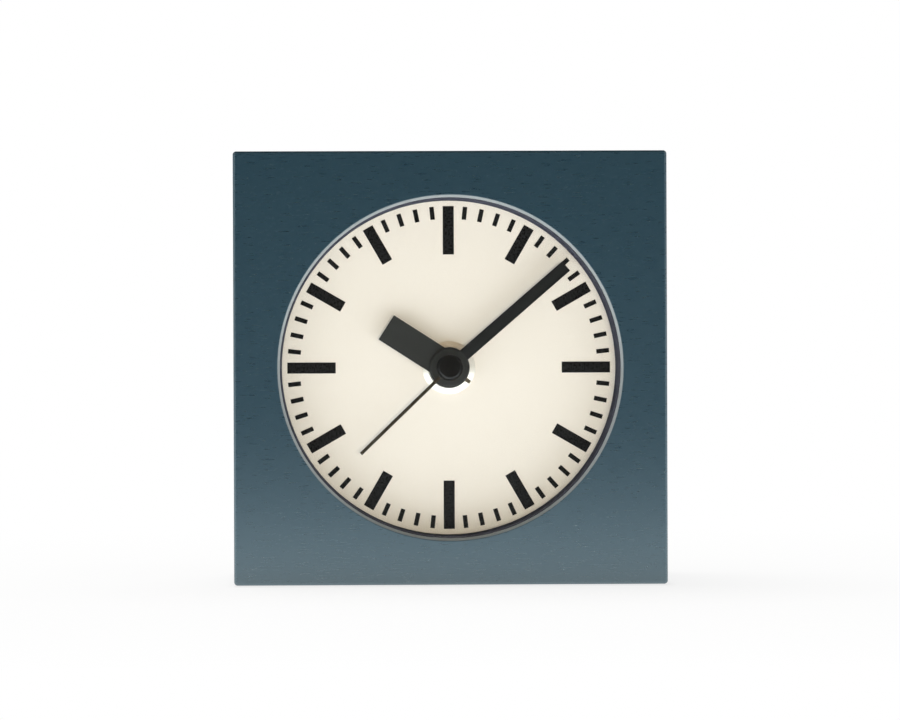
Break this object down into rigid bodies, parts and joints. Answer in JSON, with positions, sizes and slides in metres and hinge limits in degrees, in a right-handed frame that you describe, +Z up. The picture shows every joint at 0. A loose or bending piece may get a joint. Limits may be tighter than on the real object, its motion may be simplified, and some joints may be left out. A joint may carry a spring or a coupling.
{
  "type": "square table alarm clock",
  "caption": "Square table alarm clock: brushed blue metal case, round recessed cream dial with bar marks, four hands, geared quartz movement and recessed back with knobs.",
  "frame": {"origin": "on the table, under the middle of the case", "axes": "+X right as seen from the front, the dial faces -Y, +Z up"},
  "size_m": [0.1, 0.045, 0.1002],
  "materials": {
    "case_blue": "anodised, fine level brushing, deep petrol blue",
    "polished_metal": "polished",
    "clear_glass": "flat, clear",
    "dark_plastic": "moulded, fine matt texture",
    "dial_cream": "matt cream lacquer",
    "dial_black": "screen printed ink",
    "hand_black": "matt black lacquer",
    "bronze": "bronzed",
    "pale_brass": "polished and plated",
    "steel": "bright, machined",
    "gear_white": "moulded, natural white",
    "housing_grey": "moulded, light grey",
    "magnet": "sintered",
    "copper": "lacquered wire",
    "board_green": "solder mask",
    "battery_jacket": "printed foil jacket, bare of words",
    "rubber": "soft, matt"
  },
  "bodies": {
    "case": {"case_shell": "case_blue", "feet": "rubber", "bezel_ring": "polished_metal", "front_glass": "clear_glass", "spacer_ring": "dark_plastic", "dial": "dial_cream", "dial_marks": "dial_black", "dial_nut": "pale_brass", "dial_carrier": "dark_plastic", "carrier_screws": "steel", "movement_front_plate": "housing_grey", "movement_rear_cover": "housing_grey", "movement_screws": "steel", "stator": "steel", "coil_core": "steel", "coil_bobbin": "gear_white", "coil_winding": "copper", "circuit_board": "board_green", "quartz_crystal": "steel", "clock_chip": "dark_plastic", "back_cover": "dark_plastic", "cover_screws": "steel", "battery": "battery_jacket", "contact_positive": "steel", "contact_negative": "steel", "buzzer": "dark_plastic"},
    "minute_train": {"minute_hand": "hand_black", "cannon_pinion": "pale_brass"},
    "hour_train": {"hour_hand": "hand_black", "hour_wheel": "gear_white"},
    "time_setting": {"minute_wheel": "gear_white", "time_set_knob": "dark_plastic"},
    "second_train": {"second_hand": "hand_black", "second_wheel": "gear_white"},
    "centre_train": {"centre_wheel": "gear_white", "clutch_washer": "steel"},
    "third_train": {"third_wheel": "gear_white"},
    "intermediate_train": {"intermediate_wheel": "gear_white"},
    "rotor": {"rotor_pinion": "gear_white", "rotor_magnet": "magnet"},
    "alarm_train": {"alarm_hand": "bronze", "alarm_wheel": "gear_white"},
    "alarm_setting": {"alarm_pinion": "gear_white", "alarm_set_knob": "dark_plastic"},
    "switch": {"alarm_switch": "dark_plastic"},
    "door": {"battery_door": "dark_plastic"}
  },
  "joints": [
    {"name": "minute_turn", "type": "hinge", "parent": "case", "child": "minute_train", "pos_m": [0, 0, 0.0502], "axis": [0, 1, 0], "continuous": true},
    {"name": "hour_turn", "type": "hinge", "parent": "case", "child": "hour_train", "pos_m": [0, 0, 0.0502], "axis": [0, 1, 0], "continuous": true},
    {"name": "time_knob_turn", "type": "hinge", "parent": "case", "child": "time_setting", "pos_m": [-0.01269, 0, 0.04558], "axis": [0, 1, 0], "continuous": true},
    {"name": "second_turn", "type": "hinge", "parent": "case", "child": "second_train", "pos_m": [0, 0, 0.0502], "axis": [0, 1, 0], "continuous": true},
    {"name": "centre_turn", "type": "hinge", "parent": "case", "child": "centre_train", "pos_m": [0, 0, 0.0502], "axis": [0, 1, 0], "continuous": true},
    {"name": "third_turn", "type": "hinge", "parent": "case", "child": "third_train", "pos_m": [-0.00919, 0, 0.05939], "axis": [0, 1, 0], "continuous": true},
    {"name": "intermediate_turn", "type": "hinge", "parent": "case", "child": "intermediate_train", "pos_m": [0.00933, 0, 0.05953], "axis": [0, 1, 0], "continuous": true},
    {"name": "rotor_turn", "type": "hinge", "parent": "case", "child": "rotor", "pos_m": [0.01983, 0, 0.05953], "axis": [0, 1, 0], "continuous": true},
    {"name": "alarm_turn", "type": "hinge", "parent": "case", "child": "alarm_train", "pos_m": [0, 0, 0.0502], "axis": [0, 1, 0], "continuous": true},
    {"name": "alarm_knob_turn", "type": "hinge", "parent": "case", "child": "alarm_setting", "pos_m": [0.01269, 0, 0.04558], "axis": [0, 1, 0], "continuous": true},
    {"name": "alarm_switch_slide", "type": "slide", "parent": "case", "child": "switch", "axis": [1, 0, 0], "range_m": [0, 0.004]},
    {"name": "battery_door_lift", "type": "slide", "parent": "case", "child": "door", "axis": [0, 1, 0], "range_m": [0, 0.025]}
  ],
  "couplings": [
    {"joint": "hour_turn", "follows": "minute_turn", "ratio": 0.083333},
    {"joint": "time_knob_turn", "follows": "minute_turn", "ratio": -0.33333},
    {"joint": "centre_turn", "follows": "second_turn", "ratio": 0.016667},
    {"joint": "third_turn", "follows": "second_turn", "ratio": -0.13333},
    {"joint": "intermediate_turn", "follows": "second_turn", "ratio": -5},
    {"joint": "rotor_turn", "follows": "second_turn", "ratio": 30},
    {"joint": "alarm_knob_turn", "follows": "alarm_turn", "ratio": -3}
  ]
}
